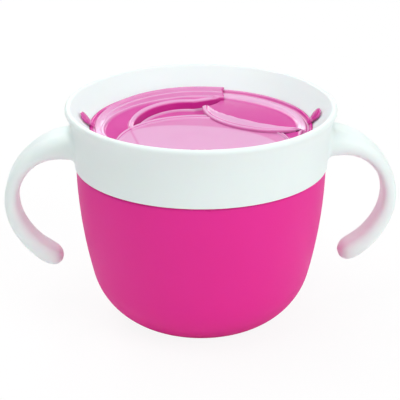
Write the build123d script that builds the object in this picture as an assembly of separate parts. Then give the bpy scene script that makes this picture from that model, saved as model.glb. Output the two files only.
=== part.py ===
from build123d import *
import os
from math import asin, atan2, cos, exp, hypot, pi, radians, sin, sqrt, tan

# Toddler snack container: a moulded bowl, a collar with two open handles that pushes on to the
# bowl's neck, and a soft insert in the collar's mouth with three overlapping flaps.
# Millimetres, +Z up. The origin is the centre of the foot, and the handles lie along X.

# ---- driving dimensions: bowl -------------------------------------------------------------
shoulder_height = 60.9      # top of the outer wall, just below the collar
mouth_draft = 0.8           # degrees from vertical at the shoulder
corner_start = 13.9         # degrees from vertical where the lower corner begins
corner_radius = 27.3        # outside radius of the lower corner
foot_angle = 68.6           # degrees from vertical where the corner meets the foot
bowl_wall = 2.6
floor_thickness = 2.8
foot_blend = 5.0            # softens the corner into the foot
foot_recess_radius = 17.0
foot_recess_depth = 0.8
neck_height = 6.1           # from the shoulder to the rim
bead_height = 0.18          # sealing bead round the neck
bead_width = 1.6
rim_rounding = 0.5
shoulder_rounding = 0.7

# ---- driving dimensions: collar ------------------------------------------------------------
collar_overhang = 0.5       # the collar stands this far proud of the bowl
collar_gap = 0.4            # shadow gap above the shoulder
skirt_wall = 1.5
skirt_clearance = 0.3       # skirt to neck, all round
skirt_flare = 0.55          # how far the skirt leans out by the waist
waist_height = 12.2         # from the collar's lower edge to where the lip starts to flare
collar_height = 22.5
lip_reach = 3.1             # how far the rolled lip stands out beyond the collar's lower edge
lip_radius = 1.3
mouth_radius = 41.2         # lower edge of the funnel; the radii outside it follow from this
funnel_depth = 7.9          # crest of the lip to the insert
funnel_wall = 1.8
hook_wall = 1.5             # inner wall that the insert wraps
hook_clearance = 1.1        # hook to the bowl's bore, seen from above

# ---- driving dimensions: handles -----------------------------------------------------------
handle_root_lift = 7.7      # middle of the root above the collar's lower edge
handle_root_rise = 9.1      # degrees above horizontal where it leaves the collar
handle_bend_radius = 21.8
handle_bend = 120.6         # degrees
handle_tail_radius = 29.1
handle_tail = 47.8          # degrees
handle_thickness = 5.2
handle_root_thickness = 9.8
handle_tip_thickness = 7.4
handle_width = 13.3
handle_root_width = 19.4
handle_tip_width = 10.4
handle_root_reach = 14.3    # length over which the root widens
handle_squareness = 3.2     # exponent of the section: 2 is an ellipse
handle_sections = 14
strap_points = 12           # points of each section
handle_thicken_from = 0.5   # share of the strap's length where it starts to thicken
handle_narrow_from = 0.35   # share of the length where it starts to narrow
handle_narrow_to = 0.7
handle_root_fillet = 2.4

# ---- driving dimensions: soft insert --------------------------------------------------------
insert_fit = 0.1            # insert to collar
ring_width = 3.8
ring_thickness = 1.4
ring_crown = 0.5
insert_skirt_wall = 1.2
gasket_thickness = 1.9      # pinched between the collar's hook and the bowl's rim
gasket_reach = 3.8          # how far it covers the bowl's mouth
gasket_lip_bulge = 0.5
gasket_root = 1.5           # height over which the skirt thickens into the gasket
ear_width = 5.0
ear_length = 5.4
ear_thickness = 1.0

# ---- driving dimensions: flaps --------------------------------------------------------------
flap_gap = 0.5              # ring to flap
flap_thickness = 0.8
bead_rise = 0.4             # moulded bead along each free edge
flap_bead_width = 1.7
flap_side_gap = 1.0         # more room at a flap's sides, which swing outwards as it opens

# Each free edge is an arc that meets the ring at two places, a span each side of its direction,
# and crosses that direction's line at a distance from the axis. Directions are round the ring
# from +X, and a droop is down towards the middle.
front_hinge = 270           # degrees
front_droop = 3.3           # degrees
front_edge_direction = 270  # degrees
front_edge_span = 56.6      # degrees
front_edge_distance = -12.0    # past the axis
left_hinge = 115            # degrees
left_droop = 6.8            # degrees
left_edge_direction = 135   # degrees
left_edge_span = 156.1      # degrees
left_edge_distance = 26.0
left_starts = 77            # degrees
left_ends = 222             # degrees
right_hinge = 30            # degrees
right_droop = 0.3           # degrees
right_edge_direction = 33.4    # degrees
right_edge_span = 44.7      # degrees
right_edge_distance = 8.6
flap_parting = 1.2          # left flap to right flap, seen from above

# ---- places worked out from the sizes above --------------------------------------------------
bowl_bore = mouth_radius + hook_wall + hook_clearance
shoulder_radius = bowl_bore + bowl_wall
start = radians(corner_start)
draft = radians(mouth_draft)
corner_centre_z = corner_radius * sin(radians(foot_angle))
corner_top_z = corner_centre_z - corner_radius * sin(start)
side_radius = (shoulder_height - corner_top_z) / (sin(start) - sin(draft))
side_centre_r = shoulder_radius - side_radius * cos(draft)
side_centre_z = shoulder_height + side_radius * sin(draft)
corner_top_r = side_centre_r + side_radius * cos(start)
corner_centre_r = corner_top_r - corner_radius * cos(start)
rim_height = shoulder_height + neck_height

collar_radius = shoulder_radius + collar_overhang
collar_base = shoulder_height + collar_gap
skirt_bore = collar_radius - skirt_wall
neck_radius = skirt_bore - skirt_clearance
waist_z = collar_base + waist_height
waist_radius = collar_radius + skirt_flare
crest_z = collar_base + collar_height
lip_centre_r = collar_radius + lip_reach - lip_radius
lip_centre_z = crest_z - lip_radius
mouth_z = crest_z - funnel_depth
hook_base = rim_height + gasket_thickness + insert_fit
gasket_lip_radius = bowl_bore - gasket_reach
handle_root_height = collar_base + handle_root_lift

ring_inner = mouth_radius - ring_width
flap_radius = ring_inner - flap_gap
flap_base = mouth_z - (ring_thickness + flap_thickness) / 2
ring_base = mouth_z - ring_thickness


def on_circle(centre, radius, angle):
    """Point of a circle; the angle is in radians, from the +r axis."""
    return (centre[0] + radius * cos(angle), centre[1] + radius * sin(angle))


def arc(centre, radius, angle_a, angle_b):
    """Arc of a circle from one angle to the other, in radians."""
    points = [on_circle(centre, radius, a) for a in (angle_a, (angle_a + angle_b) / 2, angle_b)]
    return ThreePointArc(*points)


def turned(section_plane, draw):
    """Solid of revolution about Z of the closed outline that draw() makes."""
    with BuildPart() as part:
        with BuildSketch(section_plane):
            with BuildLine():
                draw()
            make_face()
        revolve(axis=Axis.Z)
    return part.part


# ---- bowl -----------------------------------------------------------------------------------
def rounding_inside(centre, radius, rounding, z):
    """Centre, at height z, of a rounding that touches a larger circle from within, and the angle,
    in radians, where it touches."""
    rise = z - centre[1]
    reach = sqrt((radius - rounding) ** 2 - rise ** 2)
    return (centre[0] + reach, z), atan2(rise, reach)


def bowl_section():
    """Half section: outside from the foot up to the rim, then inside down to the floor."""
    side = (side_centre_r, side_centre_z)
    corner = (corner_centre_r, corner_centre_z)
    foot, foot_touch = rounding_inside(corner, corner_radius, foot_blend, foot_blend)
    shoulder_z = shoulder_height - shoulder_rounding
    shoulder, shoulder_touch = rounding_inside(side, side_radius, shoulder_rounding, shoulder_z)
    rim = (neck_radius - rim_rounding, rim_height - rim_rounding)
    bead_z = (collar_base + rim_height) / 2
    inner_corner = corner_radius - bowl_wall
    floor = -asin((corner_centre_z - floor_thickness) / inner_corner)
    floor_r = on_circle(corner, inner_corner, floor)[0]
    bore_z = side_centre_z - (side_radius - bowl_wall) * sin(draft)
    bore_r = on_circle(side, side_radius - bowl_wall, -draft)[0]

    Polyline((0, foot_recess_depth), (foot_recess_radius - foot_recess_depth, foot_recess_depth),
             (foot_recess_radius, 0), (foot[0], 0))
    arc(foot, foot_blend, -pi / 2, foot_touch)
    arc(corner, corner_radius, foot_touch, -start)
    arc(side, side_radius, -start, shoulder_touch)
    arc(shoulder, shoulder_rounding, shoulder_touch, pi / 2)
    Polyline((shoulder[0], shoulder_height), (neck_radius, shoulder_height),
             (neck_radius, bead_z - bead_width / 2))
    ThreePointArc((neck_radius, bead_z - bead_width / 2), (neck_radius + bead_height, bead_z),
                  (neck_radius, bead_z + bead_width / 2))
    Polyline((neck_radius, bead_z + bead_width / 2), (neck_radius, rim[1]))
    arc(rim, rim_rounding, 0, pi / 2)
    Polyline((rim[0], rim_height), (bore_r, rim_height), (bore_r, bore_z))
    arc(side, side_radius - bowl_wall, -draft, -start)
    arc(corner, inner_corner, -start, floor)
    Polyline((floor_r, floor_thickness), (0, floor_thickness), (0, foot_recess_depth))


# ---- collar with its handles -------------------------------------------------------------------
def funnel_tangent():
    """Angle, in radians above the horizontal, of the funnel's slope into the rolled lip."""
    reach = hypot(lip_centre_r - mouth_radius, lip_centre_z - mouth_z)
    rise = atan2(lip_centre_z - mouth_z, lip_centre_r - mouth_radius)
    return rise + asin(lip_radius / reach)


def flare_end():
    """Angle on the lip, in radians, where the flare from the waist runs into it."""
    lean = atan2(skirt_flare, waist_height)
    angle = -lean
    for _ in range(40):
        x, z = on_circle((lip_centre_r, lip_centre_z), lip_radius, angle)
        chord = atan2(x - waist_radius, z - waist_z)
        angle = lean - 2 * chord
    return angle


def collar_section():
    """Half section: up the outside, over the lip, down the funnel and back up inside the skirt."""
    lip = (lip_centre_r, lip_centre_z)
    slope = funnel_tangent()
    outer = flare_end()
    flare_top = on_circle(lip, lip_radius, outer)
    lean = atan2(skirt_flare, waist_height)
    funnel_top = on_circle(lip, lip_radius, slope + pi / 2)
    hook_r = mouth_radius + hook_wall
    back_shift = funnel_wall / sin(slope)
    hook_top = mouth_z + (hook_r - mouth_radius - back_shift) * tan(slope)
    pocket_r = waist_radius - skirt_wall
    pocket_z = mouth_z + (pocket_r - mouth_radius - back_shift) * tan(slope)

    Polyline((skirt_bore, collar_base), (collar_radius, collar_base), (waist_radius, waist_z))
    TangentArc((waist_radius, waist_z), flare_top, tangent=(sin(lean), cos(lean)))
    arc(lip, lip_radius, outer, slope + pi / 2)
    Polyline(funnel_top, (mouth_radius, mouth_z), (mouth_radius, hook_base),
             (hook_r, hook_base), (hook_r, hook_top), (pocket_r, pocket_z),
             (pocket_r, waist_z), (skirt_bore, collar_base))


def handle_station(length):
    """Place and heading, in radians, of the handle's centre line, length mm from its root."""
    heading = radians(handle_root_rise)
    x = skirt_bore
    z = handle_root_height
    for radius, sweep in ((handle_bend_radius, handle_bend), (handle_tail_radius, handle_tail)):
        turn = min(length / radius, radians(sweep))
        chord = 2 * radius * sin(turn / 2)
        x += chord * cos(heading - turn / 2)
        z += chord * sin(heading - turn / 2)
        heading -= turn
        length -= turn * radius
    return x, z, heading


def ramp(share, low, high):
    """0 below low, 1 above high, and a straight line between them."""
    return max(0.0, min(1.0, (share - low) / (high - low)))


def handle_size(length, whole):
    """Thickness and width of the strap, length mm from its root."""
    root = exp(-(length / handle_root_reach) ** 2)
    thicken = ramp(length / whole, handle_thicken_from, 1.0)
    narrow = ramp(length / whole, handle_narrow_from, handle_narrow_to)
    thickness = handle_thickness + (handle_root_thickness - handle_thickness) * root
    thickness += (handle_tip_thickness - handle_thickness) * thicken
    width = handle_width + (handle_root_width - handle_width) * root
    width += (handle_tip_width - handle_width) * narrow
    return thickness, width


def strap_section(plane, thickness, width):
    """Rounded strap section, thickness across the plane's x and width along its y."""
    power = 2 / handle_squareness
    outline = []
    for i in range(strap_points):
        a = 2 * pi * (i + 0.5) / strap_points
        across = abs(cos(a)) ** power * (1 if cos(a) > 0 else -1)
        along = abs(sin(a)) ** power * (1 if sin(a) > 0 else -1)
        outline.append((across * thickness / 2, along * width / 2))
    with BuildSketch(plane) as sketch:
        with BuildLine():
            Spline(*outline, periodic=True)
        make_face()
    return sketch.sketch


def make_handle():
    """The handle on the +X side: a strap lofted along two arcs, with a rounded free end."""
    whole = radians(handle_bend) * handle_bend_radius + radians(handle_tail) * handle_tail_radius
    cap = handle_tip_thickness * 0.75
    stations = [(whole - cap) * i / (handle_sections - 1) for i in range(handle_sections)]
    scales = [1.0] * handle_sections
    for part in (0.5, 0.8, 0.96):
        stations.append(whole - cap + cap * part)
        scales.append(sqrt(1 - part * part))
    sections = []
    for length, scale in zip(stations, scales):
        x, z, heading = handle_station(length)
        thickness, width = handle_size(length, whole)
        plane = Plane(origin=(x, 0, z), x_dir=(-sin(heading), 0, cos(heading)),
                      z_dir=(cos(heading), 0, sin(heading)))
        sections.append(strap_section(plane, thickness * scale, width * scale))
    return loft(sections)


def skirt_inside():
    """Half section of everything inside the skirt, which the handle's root must stay out of."""
    Polyline((0, collar_base - handle_root_width), (skirt_bore, collar_base - handle_root_width),
             (skirt_bore, collar_base), (waist_radius - skirt_wall, waist_z),
             (waist_radius - skirt_wall, crest_z), (0, crest_z),
             (0, collar_base - handle_root_width))


def make_collar():
    ring = turned(Plane.XZ, collar_section)
    handle = make_handle() - turned(Plane.XZ, skirt_inside)
    for side in (handle, handle.mirror(Plane.YZ)):
        joined = ring + side
        ring = fillet(new_edges(ring, side, combined=joined), handle_root_fillet)
    return ring


# ---- soft insert -----------------------------------------------------------------------------
def insert_section():
    """Half section: ring, skirt inside the collar's hook, and the gasket under it."""
    outer = mouth_radius - insert_fit
    gasket_top = rim_height + gasket_thickness
    gasket_mid = rim_height + gasket_thickness / 2
    skirt_inner = outer - insert_skirt_wall
    Polyline((outer, mouth_z), (outer, gasket_top), (neck_radius, gasket_top),
             (neck_radius, rim_height), (gasket_lip_radius, rim_height))
    ThreePointArc((gasket_lip_radius, rim_height), (gasket_lip_radius - gasket_lip_bulge, gasket_mid),
                  (gasket_lip_radius, gasket_top))
    Polyline((gasket_lip_radius, gasket_top), (skirt_inner, gasket_top + gasket_root),
             (skirt_inner, ring_base), (ring_inner, ring_base), (ring_inner, mouth_z))
    ThreePointArc((ring_inner, mouth_z), ((ring_inner + outer) / 2, mouth_z + ring_crown),
                  (outer, mouth_z))


def make_ear():
    """The pull tab on the +X side, which lies up the funnel's slope."""
    slope = funnel_tangent()
    plane = Plane(origin=(mouth_radius - insert_fit, 0, mouth_z + insert_fit),
                  x_dir=(cos(slope), 0, sin(slope)), z_dir=(-sin(slope), 0, cos(slope)))
    with BuildPart() as ear:
        with BuildSketch(plane.offset(insert_fit)):
            with Locations((ear_length / 2 - ear_width / 4, 0)):
                SlotOverall(ear_length + ear_width / 2, ear_width)
        extrude(amount=ear_thickness)
    return ear.part


def make_insert_ring():
    ear = make_ear()
    return turned(Plane.XZ, insert_section) + ear + ear.mirror(Plane.YZ)


# ---- flaps -----------------------------------------------------------------------------------
def wedge(angle_a, angle_b, reach=80.0):
    """Flat sector with its point on the axis, between two angles in degrees."""
    middle = (angle_a + angle_b) / 2
    corners = [(0, 0)]
    corners += [(reach * cos(radians(a)), reach * sin(radians(a))) for a in (angle_a, middle, angle_b)]
    return make_face(Polyline(*corners, (0, 0)))


def hinge_axis(direction):
    """Hinge line of a flap, under the middle of its root; a positive turn takes the flap down."""
    a = radians(direction)
    return Axis((flap_radius * cos(a), flap_radius * sin(a), flap_base), (sin(a), -cos(a), 0))


def flap_field(direction):
    """Flat outline that a flap may fill: it meets the ring at its hinge and clears it beside."""
    a = radians(direction)
    return Pos(flap_side_gap * cos(a), flap_side_gap * sin(a)) * Circle(flap_radius - flap_side_gap)


def make_flap(outline, bead, direction, droop):
    """A flap as a plate with a bead on its free edge, tipped down about its hinge line."""
    plate = extrude(Pos(0, 0, flap_base) * outline, flap_thickness)
    rib = extrude(Pos(0, 0, flap_base) * bead, flap_thickness + bead_rise)
    return (plate + rib).rotate(hinge_axis(direction), droop)


def edge_disc(direction, span, distance, growth=0.0):
    """Disc bounded by the arc of a free edge, made larger by growth."""
    chord_distance = flap_radius * cos(radians(span))
    half_chord = flap_radius * sin(radians(span))
    rise = chord_distance - distance
    radius = (half_chord ** 2 + rise ** 2) / (2 * abs(rise))
    centre = distance + (radius if rise > 0 else -radius)
    a = radians(direction)
    return Pos(centre * cos(a), centre * sin(a)) * Circle(radius + growth)


def make_flaps():
    """The three flaps by name. Front lies over left, and right lies over front."""
    front_edge = (front_edge_direction, front_edge_span, front_edge_distance)
    left_edge = (left_edge_direction, left_edge_span, left_edge_distance)
    right_edge = (right_edge_direction, right_edge_span, right_edge_distance)
    front = flap_field(front_hinge) & edge_disc(*front_edge)
    left = (flap_field(left_hinge) - edge_disc(*left_edge)) & wedge(left_starts, left_ends)
    right = (flap_field(right_hinge) & edge_disc(*right_edge)) - offset(left, flap_parting)
    front_bead = front - edge_disc(*front_edge, growth=-flap_bead_width)
    left_bead = left & edge_disc(*left_edge, growth=flap_bead_width)
    right_bead = right - edge_disc(*right_edge, growth=-flap_bead_width)
    return {
        "flap_front": make_flap(front, front_bead, front_hinge, front_droop),
        "flap_left": make_flap(left, left_bead, left_hinge, left_droop),
        "flap_right": make_flap(right, right_bead, right_hinge, right_droop),
    }


# ---- write the pieces ---------------------------------------------------------------------------
def make_all():
    pieces = {"bowl": turned(Plane.XZ, bowl_section), "collar_with_handles": make_collar(),
              "insert_ring": make_insert_ring()}
    pieces.update(make_flaps())
    return pieces


if __name__ == "__main__":
    os.makedirs("parts", exist_ok=True)
    for name, solid in make_all().items():
        solid.label = name
        export_step(solid, f"parts/{name}.step")
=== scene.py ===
"""Looks of a toddler's snack container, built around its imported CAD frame.

A hot-pink moulded bowl, a white collar with two open handles, and a soft pink insert whose three
overlapping flaps let a small hand in. Sizes are written in millimetres, in the frame's own axes:
+Z up, the origin under the middle of the foot and the handles along X.
"""
import logging
from dataclasses import dataclass
from enum import Enum
from math import cos, hypot, pi, radians, sin, sqrt

import bmesh
import bpy
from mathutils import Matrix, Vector


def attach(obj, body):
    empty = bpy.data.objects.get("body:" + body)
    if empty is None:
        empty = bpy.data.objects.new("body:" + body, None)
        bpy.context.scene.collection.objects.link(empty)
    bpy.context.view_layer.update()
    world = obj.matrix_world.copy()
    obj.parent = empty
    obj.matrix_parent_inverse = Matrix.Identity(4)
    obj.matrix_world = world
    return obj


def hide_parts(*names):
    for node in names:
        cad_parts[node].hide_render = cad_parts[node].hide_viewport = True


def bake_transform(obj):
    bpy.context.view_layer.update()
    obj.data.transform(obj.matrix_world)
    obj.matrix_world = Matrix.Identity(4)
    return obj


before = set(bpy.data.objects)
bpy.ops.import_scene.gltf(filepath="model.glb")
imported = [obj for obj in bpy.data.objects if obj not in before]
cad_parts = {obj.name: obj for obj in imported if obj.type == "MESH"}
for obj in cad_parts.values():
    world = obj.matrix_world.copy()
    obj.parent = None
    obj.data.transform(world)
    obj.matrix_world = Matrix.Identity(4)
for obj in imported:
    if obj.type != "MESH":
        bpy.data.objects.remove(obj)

log = logging.getLogger("snack_container")
MM = 0.001
THINNESS_AND_SHADE = "web"        # attribute of a soft mesh: 0 where it is thick up to 1 where it is a web; it also carries painted shade in grooves, on lip walls and at rims
FAR = 99.0              # a distance that is out of reach of every band, ridge and groove


class Slot(Enum):
    """The record's material slots."""

    BOWL = "bowl_pink"
    COLLAR = "collar_white"
    INSERT = "insert_pink"


class Side(Enum):
    """The lid's two sides, by the sign of X."""

    RIGHT = 1
    LEFT = -1


# ---- small helpers ----------------------------------------------------------------------------
def linear(hex_colour: str) -> tuple[float, float, float, float]:
    """Turns an sRGB hex colour to linear light, by the sRGB curve.

    Args:
        hex_colour: six hex digits, without a hash.

    Returns:
        Linear red, green and blue, and an alpha of 1.
    """
    channels = [int(hex_colour[i:i + 2], 16) / 255 for i in (0, 2, 4)]
    light = [c / 12.92 if c <= 0.04045 else ((c + 0.055) / 1.055) ** 2.4 for c in channels]
    return (*light, 1.0)


def smooth_step(value: float, low: float, high: float) -> float:
    """Eases from 0 at low to 1 at high."""
    share = max(0.0, min(1.0, (value - low) / (high - low)))
    return share * share * (3 - 2 * share)


def ridge(distance: float, centre: float, half_width: float) -> float:
    """Rounded ridge of height 1 at centre, which is 0 beyond its half width."""
    offset = abs(distance - centre) / half_width
    return 0.5 + 0.5 * cos(pi * offset) if offset < 1 else 0.0


def polar(radius: float, direction: float, z: float = 0.0) -> Vector:
    """Point at a radius and a direction in degrees round Z."""
    a = radians(direction)
    return Vector((radius * cos(a), radius * sin(a), z))


def emptied_tree(owner: bpy.types.Material | bpy.types.World) -> bpy.types.NodeTree:
    """Turns on the nodes of a material or a world, without any node in them.

    Args:
        owner: the material or world.

    Returns:
        Its empty node tree.
    """
    owner.use_nodes = True
    owner.node_tree.nodes.clear()
    return owner.node_tree


def add_node(tree: bpy.types.NodeTree, kind: str, inputs: dict | None = None,
             **settings) -> bpy.types.Node:
    """Adds a node to a tree.

    Args:
        tree: the node tree.
        kind: the node's type name.
        inputs: a value, or a socket to link from, for each input by name or number.
        **settings: properties of the node.

    Returns:
        The new node.
    """
    made = tree.nodes.new(kind)
    for name, value in settings.items():
        setattr(made, name, value)
    for key, value in (inputs or {}).items():
        if isinstance(value, bpy.types.NodeSocket):
            tree.links.new(value, made.inputs[key])
        else:
            made.inputs[key].default_value = value
    return made


def new_piece(name: str, mesh: bmesh.types.BMesh, finish: bpy.types.Material) -> bpy.types.Object:
    """Makes an object from a finished bmesh that is in millimetres.

    Args:
        name: the piece's name.
        mesh: its shape, which is freed.
        finish: its material.

    Returns:
        The object, at the origin, smooth shaded.
    """
    bmesh.ops.scale(mesh, vec=(MM, MM, MM), verts=mesh.verts)
    data = bpy.data.meshes.new(name)
    mesh.to_mesh(data)
    mesh.free()
    for face in data.polygons:
        face.use_smooth = True
    data.materials.append(finish)
    piece = bpy.data.objects.new(name, data)
    bpy.context.scene.collection.objects.link(piece)
    log.info("built %s", name)
    return piece


# ---- finishes ---------------------------------------------------------------------------------
@dataclass(frozen=True)
class MouldedPolypropylene:
    """Injection-moulded polypropylene, coloured in the melt.

    It gives the eye an even colour that stays deep in the shade, a broad soft sheen with no sharp
    reflection, a faint waxy depth, and a fine grain from the spark-eroded tool.
    """

    name: str
    colour: str
    tint: str                         # where the melt is a shade thinner
    roughness: float
    subsurface: float
    specular: float = 0.5
    ior: float = 1.45
    depth_mm: float = 1.2             # how far light travels under the surface
    flow_mm: float = 26.0             # length of the cloudy flow marks
    grain_mm: float = 0.9             # coarser than the real grain of 0.1 mm, so that it shows
    grain_depth_mm: float = 0.01
    grain_strength: float = 0.6
    roughness_swing: float = 0.04     # from grain to grain

    def material(self) -> bpy.types.Material:
        """Builds the material.

        Returns:
            The material.
        """
        made = bpy.data.materials.new(self.name)
        tree = emptied_tree(made)
        place = add_node(tree, "ShaderNodeTexCoord").outputs["Object"]
        flow = add_node(tree, "ShaderNodeTexNoise",
                        {"Vector": place, "Scale": 1 / (self.flow_mm * MM), "Detail": 2.0})
        grain = add_node(tree, "ShaderNodeTexNoise",
                         {"Vector": place, "Scale": 1 / (self.grain_mm * MM), "Detail": 3.0})
        colour = add_node(tree, "ShaderNodeMix",
                          {0: flow.outputs["Fac"], 6: linear(self.colour), 7: linear(self.tint)},
                          data_type="RGBA")
        gloss = add_node(tree, "ShaderNodeMapRange",
                         {"Value": grain.outputs["Fac"],
                          "To Min": self.roughness - self.roughness_swing,
                          "To Max": self.roughness + self.roughness_swing})
        bump = add_node(tree, "ShaderNodeBump",
                        {"Height": grain.outputs["Fac"], "Distance": self.grain_depth_mm * MM,
                         "Strength": self.grain_strength})
        shader = add_node(tree, "ShaderNodeBsdfPrincipled",
                          {"Base Color": colour.outputs[2], "Roughness": gloss.outputs["Result"],
                           "Normal": bump.outputs["Normal"], "IOR": self.ior,
                           "Specular IOR Level": self.specular,
                           "Subsurface Weight": self.subsurface,
                           "Subsurface Scale": self.depth_mm * MM})
        add_node(tree, "ShaderNodeOutputMaterial", {"Surface": shader.outputs[0]})
        return made


@dataclass(frozen=True)
class SoftElastomer:
    """Thermoplastic elastomer, moulded in a polished tool.

    It gives the eye a wet-looking skin with small bright glints, milky where the moulding is thick
    or backed, and deep in colour where it is a thin web over the dark inside; painted shade in
    grooves, on lip walls and at rims deepens it further.
    """

    name: str
    thick: str                        # colour where it is thick
    thin: str                         # and where it is a thin web
    roughness: float
    ior: float = 1.41
    subsurface: float = 0.25
    depth_mm: float = 1.5             # how far light travels under the surface, and
    travel: tuple[float, float, float] = (1.0, 0.3, 0.65)    # the shares of red, green and blue
    cloud_mm: float = 14.286          # length of the cloudy marks
    cloud_swing: float = 0.08         # in thinness, from mark to mark
    ripple_mm: float = 0.08           # depth of the skin's slow ripple
    ripple_strength: float = 0.5

    def material(self) -> bpy.types.Material:
        """Builds the material, which reads how thin the mesh is and where shade is painted on it.

        Returns:
            The material.
        """
        made = bpy.data.materials.new(self.name)
        tree = emptied_tree(made)
        place = add_node(tree, "ShaderNodeTexCoord").outputs["Object"]
        web = add_node(tree, "ShaderNodeAttribute", attribute_name=THINNESS_AND_SHADE)
        cloud = add_node(tree, "ShaderNodeTexNoise",
                         {"Vector": place, "Scale": 1 / (self.cloud_mm * MM), "Detail": 2.0})
        drift = add_node(tree, "ShaderNodeMath",
                         {0: cloud.outputs["Fac"], 1: 2 * self.cloud_swing, 2: -self.cloud_swing},
                         operation="MULTIPLY_ADD")
        share = add_node(tree, "ShaderNodeMath", {0: web.outputs["Fac"], 1: drift.outputs[0]},
                         operation="ADD", use_clamp=True)
        colour = add_node(tree, "ShaderNodeMix",
                          {0: share.outputs[0], 6: linear(self.thick), 7: linear(self.thin)},
                          data_type="RGBA")
        bump = add_node(tree, "ShaderNodeBump",
                        {"Height": cloud.outputs["Fac"], "Distance": self.ripple_mm * MM,
                         "Strength": self.ripple_strength})
        shader = add_node(tree, "ShaderNodeBsdfPrincipled",
                          {"Base Color": colour.outputs[2], "Roughness": self.roughness,
                           "Normal": bump.outputs["Normal"], "IOR": self.ior,
                           "Subsurface Weight": self.subsurface,
                           "Subsurface Scale": self.depth_mm * MM,
                           "Subsurface Radius": self.travel})
        add_node(tree, "ShaderNodeOutputMaterial", {"Surface": shader.outputs[0]})
        return made


@dataclass(frozen=True)
class WhitePaper:
    """Roll of matt white paper that the object stands on.

    It gives the eye a pale ground with no gloss, where only the object's soft shadow shows.
    """

    name: str = "white_paper_sweep"
    colour: str = "F4F4F4"
    even_white: float = 0.9           # share of plain white in what the camera sees of it

    def material(self) -> bpy.types.Material:
        """Builds the material.

        Returns:
            The material.
        """
        made = bpy.data.materials.new(self.name)
        tree = emptied_tree(made)
        path = add_node(tree, "ShaderNodeLightPath")
        seen = add_node(tree, "ShaderNodeMath",
                        {0: path.outputs["Is Camera Ray"], 1: self.even_white},
                        operation="MULTIPLY")
        paper = add_node(tree, "ShaderNodeBsdfDiffuse", {"Color": linear(self.colour)})
        glow = add_node(tree, "ShaderNodeEmission", {"Color": linear("FFFFFF"), "Strength": 1.0})
        mix = add_node(tree, "ShaderNodeMixShader",
                       {0: seen.outputs[0], 1: paper.outputs[0], 2: glow.outputs[0]})
        add_node(tree, "ShaderNodeOutputMaterial", {"Surface": mix.outputs[0]})
        return made


# ---- rigid parts ------------------------------------------------------------------------------
@dataclass
class RigidPart:
    """A CAD node whose shape stays as it is, under a finish of its own."""

    node: str
    finish: bpy.types.Material

    def build(self) -> None:
        """Gives the node its material."""
        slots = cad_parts[self.node].data.materials
        slots.clear()
        slots.append(self.finish)
        log.info("finished %s", self.node)


# ---- soft insert ------------------------------------------------------------------------------
def new_sheet(columns: int, rows: int) -> tuple[bmesh.types.BMesh, bmesh.types.BMLayerItem,
                                                list[tuple[bmesh.types.BMVert, float, float]]]:
    """Starts an open sheet.

    Args:
        columns: how many faces it has along.
        rows: how many it has across.

    Returns:
        The sheet, its thinness, and each vertex with its places along and across, from 0 to 1.
    """
    mesh = bmesh.new()
    bmesh.ops.create_grid(mesh, x_segments=columns, y_segments=rows, size=0.5)
    layer = mesh.verts.layers.float.new(THINNESS_AND_SHADE)
    return mesh, layer, [(vert, vert.co.x + 0.5, vert.co.y + 0.5) for vert in mesh.verts]


def thicken(mesh: bmesh.types.BMesh, thickness: float) -> None:
    """Gives an open sheet its wall, under its upper face, and turns all faces outwards.

    Args:
        mesh: the sheet, all of whose faces look the same way.
        thickness: of the wall, square to the sheet.
    """
    mesh.normal_update()
    if sum(face.normal.z for face in mesh.faces) < 0:
        bmesh.ops.reverse_faces(mesh, faces=mesh.faces)
        mesh.normal_update()
    below = [(vert, vert.co - vert.normal * thickness) for vert in mesh.verts]
    bmesh.ops.extrude_face_region(mesh, geom=mesh.faces[:], use_keep_orig=True)
    for vert, place in below:
        vert.co = place
    bmesh.ops.recalc_face_normals(mesh, faces=mesh.faces)


def round_sharp_edges(mesh: bmesh.types.BMesh, offset: float, angle: float = 50.0) -> None:
    """Rolls over every edge that turns by more than an angle, in degrees."""
    sharp = [edge for edge in mesh.edges if len(edge.link_faces) == 2
             and edge.calc_face_angle() > radians(angle)]
    bmesh.ops.bevel(mesh, geom=sharp, offset=offset, affect="EDGES", segments=2, profile=0.5,
                    material=-1)


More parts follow.
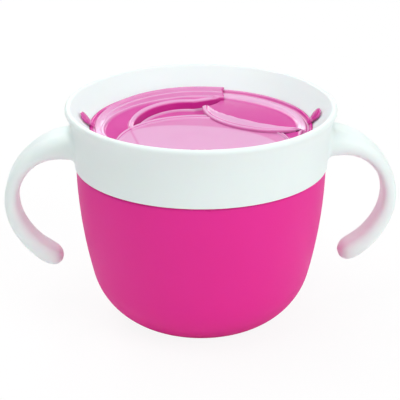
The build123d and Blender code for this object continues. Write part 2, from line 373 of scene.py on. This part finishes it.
@dataclass
class Leaf:
    """One flap and the border that carries it.

    The flap is a sheet between the slit along the ring and its free edge, where a lip turns down.
    The border stands on the ring outside the slit, and goes on with the flap's own face. A place
    along the leaf goes from 0 at its first end to 1 at its last. Fields that end in _zone are the
    two places, or distances, between which something eases in or out.
    """

    name: str
    finish: bpy.types.Material
    hinge: float                       # direction of the hinge round Z, degrees
    turn_from: float                   # degrees round Z
    turn_to: float
    rim_first: float                   # outer radius of the border at either end
    rim_last: float
    edge_centre: tuple[float, float]   # circle of the free edge
    edge_radius: float
    edge_from: float                   # degrees round that centre
    edge_to: float
    top_first: float                   # height of the face at either end
    top_last: float
    band_first: float                  # width of the raised band along the ring at either end
    band_last: float
    edge_band: float                   # width of the free edge's band at its ends
    edge_swell: float = 0.0            # and how much wider it is half way along
    rim_zone: tuple[float, float] = (0.3, 0.9)      # where the border's radius changes
    band_zone: tuple[float, float] = (0.1, 0.8)     # where the outer band's width changes
    fall_zone: tuple[float, float] = (0.1, 0.85)    # where the height changes
    fall_inward: float = 0.0           # fall from the ring to the free edge, per mm
    notch: tuple[float, float] = (0.0, 0.0)         # moves the first end of the free edge
    notch_zone: tuple[float, float] = (0.0, 0.09)
    last_push: tuple[float, float] = (0.0, 0.0)     # bows the flap's last side out
    push_zone: tuple[float, float] = (0.75, 1.0)

    # face
    thickness: float = 0.65
    band_rise: float = 0.5
    band_shoulder: float = 0.7         # the outer band's inner side falls over these, before and
    band_foot: float = 0.5             # after the band's width
    edge_slope: float = 0.4            # and that of the free edge's band over this, either way
    relief: float = 0.3                # height of stripes and bead, and depth of grooves
    stripes: tuple[float, ...] = ()    # ridges along the outer band, as shares of its width
    stripe_half_width: float = 1.0
    grooves: tuple[float, ...] = ()    # grooves on the free edge's band, by distance from it
    groove_width: float = 1.0
    edge_bead_inset: float = 0.5       # bead on the free edge's band, in from its inner side
    edge_bead_half_width: float = 0.7
    sunk_rim: float = 0.4              # how far the border sinks where it meets the collar
    sunk_rim_zone: tuple[float, float] = (0.1, 0.8)
    crown: float = 0.0                 # slope of the border down to its outer edge
    crown_reach: float = 3.4           # how far in from there it starts

    # thinness
    thin_first: float = 0.8            # of the web at either end
    thin_last: float = 0.8
    milky_reach: float = 0.0           # how far from the free edge the web turns milky, if it does
    milky_least: float = 1.0
    milky_fade: float = 1.6
    milky_zone: tuple[float, float] = (0.4, 0.95)
    painted_line_shade: float = 0.9              # painted shade in the grooves and along the sunk rim
    band_tint: float = 0.0             # between the stripes, at the first end
    band_tint_zone: tuple[float, float] = (0.42, 0.66)
    end_shadow_line: float = 0.0              # width of the painted shadow line across the first end, if any
    shown_edge: tuple[tuple[float, float], ...] = ()    # line where a leaf below shows through
    shown_tint: float = 0.35
    shown_half_width: float = 0.8
    halo_offset: float = 1.2           # the paler line beside it
    halo_half_width: float = 0.7

    # lip
    lip_corner: float = 0.6            # radius that the lip turns down with
    hem: float = 0.7                   # how far it hangs down
    corner_web: float = 0.1            # thinness where the corner starts, and
    painted_wall_shade: float = 0.5              # below the corner: painted shade on the lip's wall
    shelf: float = 0.0                 # width of sheet kept for a shelf at the lip's foot, if any
    shelf_stop: tuple[float, float, float] = (0.0, 0.0, 0.0)    # circle that the shelf stops at
    shelf_zone: tuple[float, float] = (0.01, 0.03)
    shelf_top: float = 74.0            # height of its far side, just under the front leaf
    shelf_web: float = 0.8
    bead: float = 2.2                  # width of its bead, at the foot of the lip
    bead_rise: float = 0.9

    # slit, hinge and mesh
    slit_radius: float = 36.95
    slit: float = 0.05
    hinge_reach: float = 7.0           # how far in from the slit the flap bends
    edge_rounding: float = 0.04
    columns: int = 150
    rows: int = 64
    lip_rows: int = 40
    border_rows: int = 16
    gather: float = 0.75               # how closely the rows gather at the slit and the free edge

    def rim(self, along: float) -> float:
        """Outer radius of the border."""
        share = smooth_step(along, *self.rim_zone)
        return self.rim_first + (self.rim_last - self.rim_first) * share

    def outer_band(self, along: float) -> float:
        """Width of the raised band along the ring."""
        share = smooth_step(along, *self.band_zone)
        return self.band_first + (self.band_last - self.band_first) * share

    def turn(self, along: float) -> float:
        """Direction round Z, in degrees."""
        return self.turn_from + (self.turn_to - self.turn_from) * along

    def ends(self, along: float) -> tuple[Vector, Vector]:
        """Where the flap starts and ends across.

        Args:
            along: place along the leaf.

        Returns:
            The points on the slit and on the free edge, at height 0.
        """
        root = polar(self.slit_radius - self.slit / 2, self.turn(along))
        edge = Vector(self.edge_centre).to_3d()
        edge += polar(self.edge_radius, self.edge_from + (self.edge_to - self.edge_from) * along)
        edge += Vector(self.notch).to_3d() * (1 - smooth_step(along, *self.notch_zone))
        return root, edge

    def face(self, along: float, from_rim: float, from_edge: float) -> tuple[float, float]:
        """Height and thinness of the leaf.

        Args:
            along: place along the leaf.
            from_rim: distance from the border's outer edge.
            from_edge: distance from the free edge.

        Returns:
            Height of the face, and 0 where the leaf is thick up to 1 where it is a thin web,
            deepened by painted shade in its grooves, along its sunk rim and across its first end.
        """
        outer = self.outer_band(along)
        inner = self.edge_band + self.edge_swell * sin(pi * along)
        on_rim = 1 - smooth_step(from_rim, outer - self.band_shoulder, outer + self.band_foot)
        on_edge = 1 - smooth_step(from_edge, inner - self.edge_slope, inner + self.edge_slope)
        banded = max(on_rim, on_edge)
        ridges = on_rim * min(1.0, sum(ridge(from_rim, share * outer, self.stripe_half_width)
                                       for share in self.stripes))
        groove = on_edge * sum(ridge(from_edge, place, self.groove_width / 2)
                               for place in self.grooves)
        bead = ridge(from_edge, inner - self.edge_bead_inset, self.edge_bead_half_width)
        sunk = 1 - smooth_step(from_rim, *self.sunk_rim_zone)

        fall = smooth_step(along, *self.fall_zone)
        top = self.top_first + (self.top_last - self.top_first) * fall - self.fall_inward * from_rim
        top += self.band_rise * banded + self.relief * (ridges + bead - groove)
        top -= self.sunk_rim * sunk + self.crown * max(0.0, self.crown_reach - from_rim)

        thin = self.thin_first + (self.thin_last - self.thin_first) * along
        if self.milky_reach:
            reach = self.milky_reach * (1 - smooth_step(along, *self.milky_zone)) + self.milky_least
            thin *= 1 - smooth_step(from_edge, reach, reach + self.milky_fade)
        tinted = self.band_tint * (1 - smooth_step(along, *self.band_tint_zone))
        # the grooves and the sunk rim are deepened with painted shade
        web = thin * (1 - banded) + tinted * on_rim * (1 - ridges) + self.painted_line_shade * (groove + sunk)
        # painted shadow line across the first end
        if self.end_shadow_line:
            web += 1 - smooth_step(along, 0.0, self.end_shadow_line)
        return top, min(1.0, web)

    def shown_through(self, place: Vector, web: float) -> float:
        """What a leaf below adds to the thinness, along the line where its edge shows through.

        Args:
            place: point on the flap.
            web: thinness there.

        Returns:
            The change: more on the line, and less beside it, where there is as much to take away.
        """
        upper, lower = (Vector(point).to_3d() for point in self.shown_edge)
        line = (lower - upper).normalized()
        off = (place - upper).dot(Vector((-line.y, line.x, 0.0)))
        halo = ridge(off, self.halo_offset, self.halo_half_width) * (web > self.shown_tint)
        return self.shown_tint * (ridge(off, 0.0, self.shown_half_width) - halo)

    def lip_course(self, along: float, root: Vector, edge: Vector) -> tuple[Vector, float]:
        """Which way the lip goes from a point of the free edge, and how far its shelf goes.

        Args:
            along: place along the leaf.
            root: point on the slit.
            edge: point on the free edge.

        Returns:
            The way, square to Z, and the shelf's reach up to the circle that stops it.
        """
        if not self.shelf:
            return (edge - root).normalized(), 0.0
        x, y, radius = self.shelf_stop
        inward = Vector((x, y, 0.0)) - edge
        reach = inward.length - radius - self.lip_corner
        return inward.normalized(), max(0.0, reach) * smooth_step(along, *self.shelf_zone)

    def lip(self, top: float, reach: float, run: float) -> tuple[float, float, float]:
        """The lip under the free edge: a corner, a wall, and the shelf with its bead.

        Args:
            top: height of the free edge here.
            reach: how far the shelf goes here.
            run: share of the way round the lip, from 0 at the free edge.

        Returns:
            How far out and how far down it is from the free edge, and how thin it is, with painted
            shade on the wall.
        """
        corner = self.lip_corner * pi / 2
        wall = corner + self.hem - self.lip_corner
        distance = run * (wall + self.shelf)
        if distance < corner:
            bend = distance / self.lip_corner
            # down the wall the colour eases into painted shade
            web = self.corner_web + (self.painted_wall_shade - self.corner_web) * distance / corner
            return self.lip_corner * sin(bend), self.lip_corner * (1 - cos(bend)), web
        if distance < wall or not self.shelf:
            return self.lip_corner, self.lip_corner + distance - corner, self.painted_wall_shade
        out = distance - wall
        bead = ridge(out, self.bead / 2, self.bead / 2)
        past_bead = max(0.0, (out - self.bead) / (self.shelf - self.bead))
        gone = min(out, self.bead, reach) + past_bead * max(0.0, reach - self.bead)
        rise = self.hem - top + self.shelf_top
        rise *= past_bead * smooth_step(reach, self.bead, 2 * self.bead)
        web = self.shelf_web * (1 - min(1.0, 2 * bead))
        return self.lip_corner + gone, self.hem - self.bead_rise * bead - rise, web

    def finish_piece(self, name: str, mesh: bmesh.types.BMesh) -> bpy.types.Object:
        """Gives a sheet its wall and its rounded rims, and makes it an object.

        Args:
            name: the piece's name.
            mesh: the open sheet.

        Returns:
            The object.
        """
        thicken(mesh, self.thickness)
        round_sharp_edges(mesh, self.edge_rounding)
        return new_piece(name, mesh, self.finish)

    def build_border(self) -> None:
        """Builds the part outside the slit, which stays with the ring."""
        mesh, layer, points = new_sheet(self.columns, self.border_rows)
        for vert, along, across in points:
            rim = self.rim(along)
            radius = rim + (self.slit_radius + self.slit / 2 - rim) * across
            height, vert[layer] = self.face(along, rim - radius, FAR)
            vert.co = polar(radius, self.turn(along), height)
        piece = self.finish_piece(self.name + "_border", mesh)
        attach(piece, "lid")

    def build_flap(self) -> None:
        """Builds the flap with its lip."""
        total = self.rows + self.lip_rows
        mesh, layer, points = new_sheet(self.columns, total)
        for vert, along, run in points:
            step = run * total / self.rows
            evened = min(step, 1.0)
            across = evened - self.gather * sin(2 * pi * evened) / (2 * pi)
            root, edge = self.ends(along)
            bow = 4 * across * (1 - across) * smooth_step(along, *self.push_zone)
            place = root.lerp(edge, across) + Vector(self.last_push).to_3d() * bow
            from_rim = self.rim(along) - hypot(place.x, place.y)
            from_edge = (1 - across) * (edge - root).length
            place.z, web = self.face(along, from_rim, from_edge)
            if self.shown_edge:
                web += self.shown_through(place, web)
            if step > 1.0:
                outward, reach = self.lip_course(along, root, edge)
                out, down, web = self.lip(place.z, reach, (step - 1.0) * self.rows / self.lip_rows)
                place += outward * out - Vector((0.0, 0.0, down))
            vert[layer] = web
            vert.co = place
        piece = self.finish_piece(self.name + "_soft", mesh)
        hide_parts(self.name)
        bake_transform(piece)

    def build(self) -> None:
        """Builds the border and the flap."""
        self.build_border()
        self.build_flap()


@dataclass
class Ring:
    """Ring that grips the collar's mouth, with its skirt and the gasket on the bowl's rim."""

    finish: bpy.types.Material
    outer_radius: float = 41.1
    inner_radius: float = 37.4
    mouth_z: float = 75.9
    bead: tuple[tuple[float, float], ...] = (       # its outer edge: how far in and over mouth_z
        (0.0, -0.3), (0.15, 0.05), (0.5, 0.25), (0.9, 0.15), (1.2, -0.3), (1.6, -0.9), (2.1, -1.0),
        (3.0, -1.0))
    top_drop: float = 1.0              # mouth_z down to the ring's top inside the bead,
    base_drop: float = 1.5             # and to its underside
    skirt_wall: float = 1.2
    rim_height: float = 67.0           # the bowl's rim, which the gasket lies on
    gasket_radius: float = 45.1
    gasket_inner: float = 40.0
    gasket_thickness: float = 1.9
    gasket_root: float = 1.5           # height over which the skirt thickens into the gasket
    gasket_nose: float = 0.4           # how far the gasket's inner edge bulges, and
    nose_from: float = 0.6             # between which heights on the rim
    nose_to: float = 1.3
    edge_rounding: float = 0.12
    weld: float = 0.001                # points that are nearer than this are merged
    steps: int = 180
    bead_inset: float = 0.85           # milky bead, in from the outer radius
    bead_half_width: float = 0.55
    bead_milk: float = 0.8
    groove_zone: tuple[float, float] = (1.1, 1.7)
    groove_milk: float = 0.45
    ear_zone: tuple[float, float] = (34.0, 39.0)    # distance along X at which the ears are near, and the painted shade widens
    ear_groove_milk: float = 0.7

    def section(self) -> list[tuple[float, float]]:
        """Half section of the ring, its skirt and the gasket.

        Returns:
            Radius and height of each corner, from the skirt's outer foot up and round.
        """
        base = self.mouth_z - self.base_drop
        gasket_top = self.rim_height + self.gasket_thickness
        skirt_inner = self.outer_radius - self.skirt_wall
        nose = self.gasket_inner - self.gasket_nose
        bead = [(self.outer_radius - inset, self.mouth_z + rise) for inset, rise in self.bead]
        return [(self.outer_radius, gasket_top), *bead,
                (self.inner_radius, self.mouth_z - self.top_drop), (self.inner_radius, base),
                (skirt_inner, base), (skirt_inner, gasket_top + self.gasket_root),
                (self.gasket_inner, gasket_top), (nose, self.rim_height + self.nose_to),
                (nose, self.rim_height + self.nose_from), (self.gasket_inner, self.rim_height),
                (self.gasket_radius, self.rim_height), (self.gasket_radius, gasket_top)]

    def thinness_and_shade(self, place: Vector) -> float:
        """How thin the ring looks: milky on its bead and in its groove, with painted shade at its
        outer corner and between the two, which widens by the ears.

        Args:
            place: point on the ring.

        Returns:
            From 0 where it is milky to 1 where it is deep with painted shade.
        """
        inset = self.outer_radius - hypot(place.x, place.y)
        bead = ridge(inset, self.bead_inset, self.bead_half_width)
        groove = smooth_step(inset, *self.groove_zone)
        by_ear = smooth_step(abs(place.x), *self.ear_zone)
        # painted shade: deep at the outer corner and between the bead and the groove, and by the
        # ears across the bead too
        plain = 1 - self.bead_milk * bead - self.groove_milk * groove
        return (1 - by_ear) * plain + by_ear * (1 - self.ear_groove_milk * groove)

    def build(self) -> None:
        """Spins the section."""
        mesh = bmesh.new()
        points = [mesh.verts.new((radius, 0.0, z)) for radius, z in self.section()]
        points.append(points[0])
        edges = [mesh.edges.new(pair) for pair in zip(points, points[1:])]
        bmesh.ops.spin(mesh, geom=edges + points[:-1], axis=(0, 0, 1), cent=(0, 0, 0),
                       angle=2 * pi, steps=self.steps, use_merge=True)
        bmesh.ops.remove_doubles(mesh, verts=mesh.verts, dist=self.weld)
        bmesh.ops.recalc_face_normals(mesh, faces=mesh.faces)
        round_sharp_edges(mesh, self.edge_rounding)
        layer = mesh.verts.layers.float.new(THINNESS_AND_SHADE)
        for vert in mesh.verts:
            vert[layer] = self.thinness_and_shade(vert.co)
        piece = new_piece("insert_ring_soft", mesh, self.finish)
        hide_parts("insert_ring")
        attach(piece, "lid")


@dataclass
class Ear:
    """Pull tab that lies up the collar's slope: a narrow neck, and a head with a round tip."""

    finish: bpy.types.Material
    side: Side
    slope: float = 48.8                # degrees, of the collar's funnel
    root_radius: float = 40.1
    root_z: float = 75.2
    length: float = 6.8
    neck_width: float = 3.4
    head_width: float = 6.4
    head_zone: tuple[float, float] = (0.2, 0.6)     # shares of the length where it widens
    tip_from: float = 0.5              # share of the length where it starts to narrow
    tip_power: int = 4                 # how suddenly it does
    tip_blunt: float = 0.12            # least share of the width's square, at the very tip
    thickness: float = 0.9
    lift: float = 0.35                 # of its underside, off the slope
    crown: float = 0.25                # how much its middle stands over its sides
    edge_rounding: float = 0.05
    border_milk: float = 0.25          # milky border, as shares of the length and half width
    border_zone: tuple[float, float] = (0.8, 1.0)
    rib_milk: float = 0.6              # milky rib across the neck, as shares of the length
    rib_at: float = 0.3
    rib_half_width: float = 0.1
    columns: int = 28
    rows: int = 20

    def build(self) -> None:
        """Builds the tab."""
        mesh, layer, points = new_sheet(self.columns, self.rows)
        lean = radians(self.slope)
        for vert, share, across in points:
            beside = 2 * across - 1
            narrowing = max(0.0, (share - self.tip_from) / (1 - self.tip_from)) ** self.tip_power
            width = self.neck_width
            width += (self.head_width - self.neck_width) * smooth_step(share, *self.head_zone)
            width *= sqrt(max(self.tip_blunt, 1 - narrowing))
            up = self.length * share
            off = self.thickness + self.lift - self.crown * beside ** 2
            border = max(abs(beside), smooth_step(share, *self.border_zone))
            vert[layer] = (1.0 - self.border_milk * smooth_step(border, *self.border_zone)
                           - self.rib_milk * ridge(share, self.rib_at, self.rib_half_width))
            reach = self.root_radius + up * cos(lean) - off * sin(lean)
            vert.co = (self.side.value * reach, beside / 2 * width,
                       self.root_z + up * sin(lean) + off * cos(lean))
        thicken(mesh, self.thickness)
        round_sharp_edges(mesh, self.edge_rounding)
        piece = new_piece("ear_" + self.side.name.lower(), mesh, self.finish)
        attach(piece, "lid")


@dataclass
class Gusset:
    """Thin web in the ring's right front corner, between the right flap and the front one."""

    finish: bpy.types.Material
    thickness: float = 0.6
    outer_radius: float = 37.7
    outer_from: float = -12.7          # degrees round Z
    outer_sweep: float = -17.6
    inner_centre: tuple[float, float] = (0.0, -20.0)    # circle along the front leaf's free edge
    inner_radius: float = 32.0
    inner_from: float = 19.5           # degrees round that centre
    inner_sweep: float = -17.7
    top: float = 75.7
    fall: float = 0.9                  # from its outer side to its inner one
    sag: float = 0.7                   # of its outer side, past its first end
    sag_zone: tuple[float, float] = (0.0, 0.5)
    bead: float = 0.3                  # height of the bead along its outer side
    bead_at: float = 0.12              # share of the way across, and the bead's half width
    web: float = 0.9                   # thinness, and
    bead_milk: float = 0.8             # how much less it is on the bead
    columns: int = 30
    rows: int = 16

    def build(self) -> None:
        """Builds the web."""
        mesh, layer, points = new_sheet(self.columns, self.rows)
        centre = Vector(self.inner_centre).to_3d()
        for vert, along, across in points:
            outer = polar(self.outer_radius, self.outer_from + self.outer_sweep * along)
            inner = centre + polar(self.inner_radius, self.inner_from + self.inner_sweep * along)
            bead = ridge(across, self.bead_at, self.bead_at)
            height = self.top - self.fall * across + self.bead * bead
            height -= self.sag * smooth_step(along, *self.sag_zone) * (1 - across)
            vert[layer] = self.web - self.bead_milk * bead
            vert.co = outer.lerp(inner, across) + Vector((0.0, 0.0, height))
        thicken(mesh, self.thickness)
        piece = new_piece("insert_gusset", mesh, self.finish)
        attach(piece, "lid")


@dataclass
class SoftInsert:
    """Ring, ears, gusset and three leaves, one soft moulding in the real object."""

    finish: bpy.types.Material

    def leaves(self) -> list[Leaf]:
        """Lists the leaves: left lies over right at the back, right over front, front over left.

        Returns:
            The three leaves.
        """
        # the left leaf has painted shade on its deep lip wall and a painted shadow line across its
        # first end
        left = Leaf("flap_left", self.finish, hinge=115, turn_from=74.5, turn_to=224,
                    rim_first=40.6, rim_last=39.2, edge_centre=(-4.3, 3.4), edge_radius=21.0,
                    edge_from=71, edge_to=217, top_first=77.1, top_last=74.8, band_first=12.8,
                    band_last=3.6, edge_band=1.6, band_zone=(0.2, 0.8), fall_zone=(0.15, 0.85),
                    fall_inward=0.065, notch=(7.6, 4.6), stripes=(0.53, 0.9), crown=0.08,
                    thin_first=0.7, thin_last=0.95, band_tint=0.5, end_shadow_line=0.008, hem=3.5,
                    painted_wall_shade=0.92, shelf=8.0, shelf_stop=(0.0, -20.0, 32.4))
        front = Leaf("flap_front", self.finish, hinge=270, turn_from=331, turn_to=209,
                     rim_first=39.2, rim_last=39.2, edge_centre=(0.0, -20.0), edge_radius=31.5,
                     edge_from=2.5, edge_to=177.5, top_first=74.8, top_last=75.4, band_first=2.6,
                     band_last=2.6, edge_band=3.6, band_rise=0.3, grooves=(1.9,), groove_width=2.0,
                     thin_first=0.4, thin_last=0.4, milky_reach=11.0,
                     shown_edge=((-26.6, -0.9), (-24.1, -14.8)))
        right = Leaf("flap_right", self.finish, hinge=30, turn_from=-11.5, turn_to=78,
                     rim_first=39.2, rim_last=39.2, edge_centre=(30.0, 20.2), edge_radius=28.5,
                     edge_from=280, edge_to=181, top_first=75.6, top_last=75.6, band_first=4.0,
                     band_last=8.5, edge_band=1.6, edge_swell=5.2, last_push=(4.0, -1.0),
                     grooves=(1.2,), crown=0.24, thin_first=1.0, thin_last=0.75, hem=1.2)
        return [left, front, right]

    def build(self) -> None:
        """Builds every soft piece."""
        Ring(self.finish).build()
        for side in Side:
            Ear(self.finish, side).build()
        Gusset(self.finish).build()
        for leaf in self.leaves():
            leaf.build()


# ---- stage ------------------------------------------------------------------------------------
@dataclass(frozen=True)
class SoftBox:
    """Square lamp that faces the object. Its place and size are in metres, its power in watts."""

    name: str
    place: tuple[float, float, float]
    size: float
    power: float

    def build(self, aim: Vector) -> None:
        """Adds the lamp.

        Args:
            aim: point that it faces, in metres.
        """
        data = bpy.data.lights.new(self.name, "AREA")
        data.size = self.size
        data.energy = self.power
        lamp = bpy.data.objects.new(self.name, data)
        lamp.location = self.place
        lamp.rotation_euler = (Vector(self.place) - aim).to_track_quat("Z", "Y").to_euler()
        bpy.context.scene.collection.objects.link(lamp)


@dataclass
class Studio:
    """Pale floor, soft light and the photograph's camera."""

    elevation: float = 22.37           # degrees, of the camera
    azimuth: float = -2.5              # degrees, from straight in front
    distance: float = 571.4
    aim_z: float = 45.5
    aim_side: float = -0.38
    lens: float = 136.64
    sensor: float = 36.0
    clip_start: float = 10.0
    floor_size: float = 4000.0         # half of the floor's side
    lamp_aim_z: float = 50.0
    lamps: tuple[SoftBox, ...] = (
        SoftBox("overhead", (-0.28, -0.1, 1.2), 1.0, 8.1),
        SoftBox("key_right", (0.75, -0.75, 0.75), 0.7, 4.9),
        SoftBox("fill_back", (-0.42, 0.9, 0.9), 0.5, 2.6),
        SoftBox("glint_left", (-0.3, 1.1, 0.53), 0.2, 0.9),
        SoftBox("glint_right", (0.3, 1.1, 0.53), 0.2, 0.9))
    sky: float = 0.46                  # the world's strength, where nothing mirrors it
    sky_left: float = 0.58             # and what it is multiplied by on the left,
    sky_right: float = 1.32            # and on the right
    mirrored_low: float = 0.5          # strength of the mirrored sky near the horizon,
    mirrored_high: float = 0.35        # and overhead
    mirrored_zone: tuple[float, float] = (0.2, 0.5)     # sines of the elevations in between

    def camera(self) -> None:
        """Places the camera at the photograph's viewing angle."""
        a, e = radians(self.azimuth), radians(self.elevation)
        back = Vector((sin(a) * cos(e), -cos(a) * cos(e), sin(e)))
        side = Vector((cos(a), sin(a), 0.0))
        aim = Vector((0.0, 0.0, self.aim_z)) + side * self.aim_side
        data = bpy.data.cameras.new("photo_camera")
        data.lens = self.lens
        data.sensor_width = self.sensor
        data.clip_start = self.clip_start * MM
        camera = bpy.data.objects.new("photo_camera", data)
        camera.location = (aim + back * self.distance) * MM
        camera.rotation_euler = back.to_track_quat("Z", "Y").to_euler()
        bpy.context.scene.collection.objects.link(camera)
        bpy.context.scene.camera = camera

    def floor(self) -> None:
        """Adds a pale floor that keeps the object's shadow."""
        mesh = bmesh.new()
        bmesh.ops.create_grid(mesh, x_segments=1, y_segments=1, size=self.floor_size * MM)
        data = bpy.data.meshes.new("floor")
        mesh.to_mesh(data)
        mesh.free()
        data.materials.append(WhitePaper().material())
        floor = bpy.data.objects.new("floor", data)
        bpy.context.scene.collection.objects.link(floor)

    def world(self) -> None:
        """Makes the sky: white to the camera, and grey light for the object, more on the right."""
        world = bpy.data.worlds.new("studio")
        bpy.context.scene.world = world
        tree = emptied_tree(world)
        path = add_node(tree, "ShaderNodeLightPath")
        heading = add_node(tree, "ShaderNodeTexCoord").outputs["Generated"]
        height = add_node(tree, "ShaderNodeSeparateXYZ", {0: heading})
        low, high = self.mirrored_zone
        sky = add_node(tree, "ShaderNodeMapRange",
                       {"Value": height.outputs["Z"], "From Min": low, "From Max": high,
                        "To Min": self.mirrored_low, "To Max": self.mirrored_high},
                       interpolation_type="SMOOTHSTEP")
        side = add_node(tree, "ShaderNodeMapRange",
                        {"Value": height.outputs["X"], "From Min": -1.0, "From Max": 1.0,
                         "To Min": self.sky_left, "To Max": self.sky_right})
        mirror = add_node(tree, "ShaderNodeMath",
                          {0: path.outputs["Is Glossy Ray"],
                           1: path.outputs["Is Transmission Ray"]}, operation="MAXIMUM")
        mirrored = add_node(tree, "ShaderNodeMath",
                            {0: sky.outputs[0], 1: side.outputs["Result"]}, operation="MULTIPLY")
        level = add_node(tree, "ShaderNodeMix",
                         {0: mirror.outputs[0], 2: self.sky, 3: mirrored.outputs[0]})
        sided = add_node(tree, "ShaderNodeMath",
                         {0: level.outputs[0], 1: side.outputs["Result"]}, operation="MULTIPLY")
        shown = add_node(tree, "ShaderNodeMix",
                         {0: path.outputs["Is Camera Ray"], 2: sided.outputs[0], 3: 1.0})
        glow = add_node(tree, "ShaderNodeBackground",
                        {"Color": linear("FFFFFF"), "Strength": shown.outputs[0]})
        add_node(tree, "ShaderNodeOutputWorld", {"Surface": glow.outputs[0]})

    def build(self) -> None:
        """Sets the whole stage."""
        bpy.context.scene.view_settings.view_transform = "Standard"
        self.camera()
        self.world()
        self.floor()
        for lamp in self.lamps:
            lamp.build(Vector((0.0, 0.0, self.lamp_aim_z * MM)))
        log.info("set the stage")


def main() -> None:
    """Builds the studio and every piece."""
    logging.basicConfig(level=logging.INFO, format="%(message)s")
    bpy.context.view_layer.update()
    Studio().build()
    finishes = {
        # hot pink, slightly deeper where the melt flowed thin, with the duller sheen of the two
        Slot.BOWL: MouldedPolypropylene("moulded_polypropylene_pink", "E92298", "E62093",
                                        roughness=0.55, subsurface=0.12, specular=0.38),
        # white with a hint of green, smooth enough for a soft highlight along the handles
        Slot.COLLAR: MouldedPolypropylene("moulded_polypropylene_white", "ECF7F5", "EAF5F3",
                                          roughness=0.46, subsurface=0.1),
        # milky pink on the bands and beads, magenta through the webs, and painted shade in grooves,
        # on lip walls and at rims
        Slot.INSERT: SoftElastomer("soft_elastomer_pink", "E3A6CF", "D11496", roughness=0.2),
    }
    RigidPart("bowl", finishes[Slot.BOWL].material()).build()
    RigidPart("collar_with_handles", finishes[Slot.COLLAR].material()).build()
    SoftInsert(finishes[Slot.INSERT].material()).build()
    log.info("wrote the sizes")


if __name__ == "__main__":
    main()
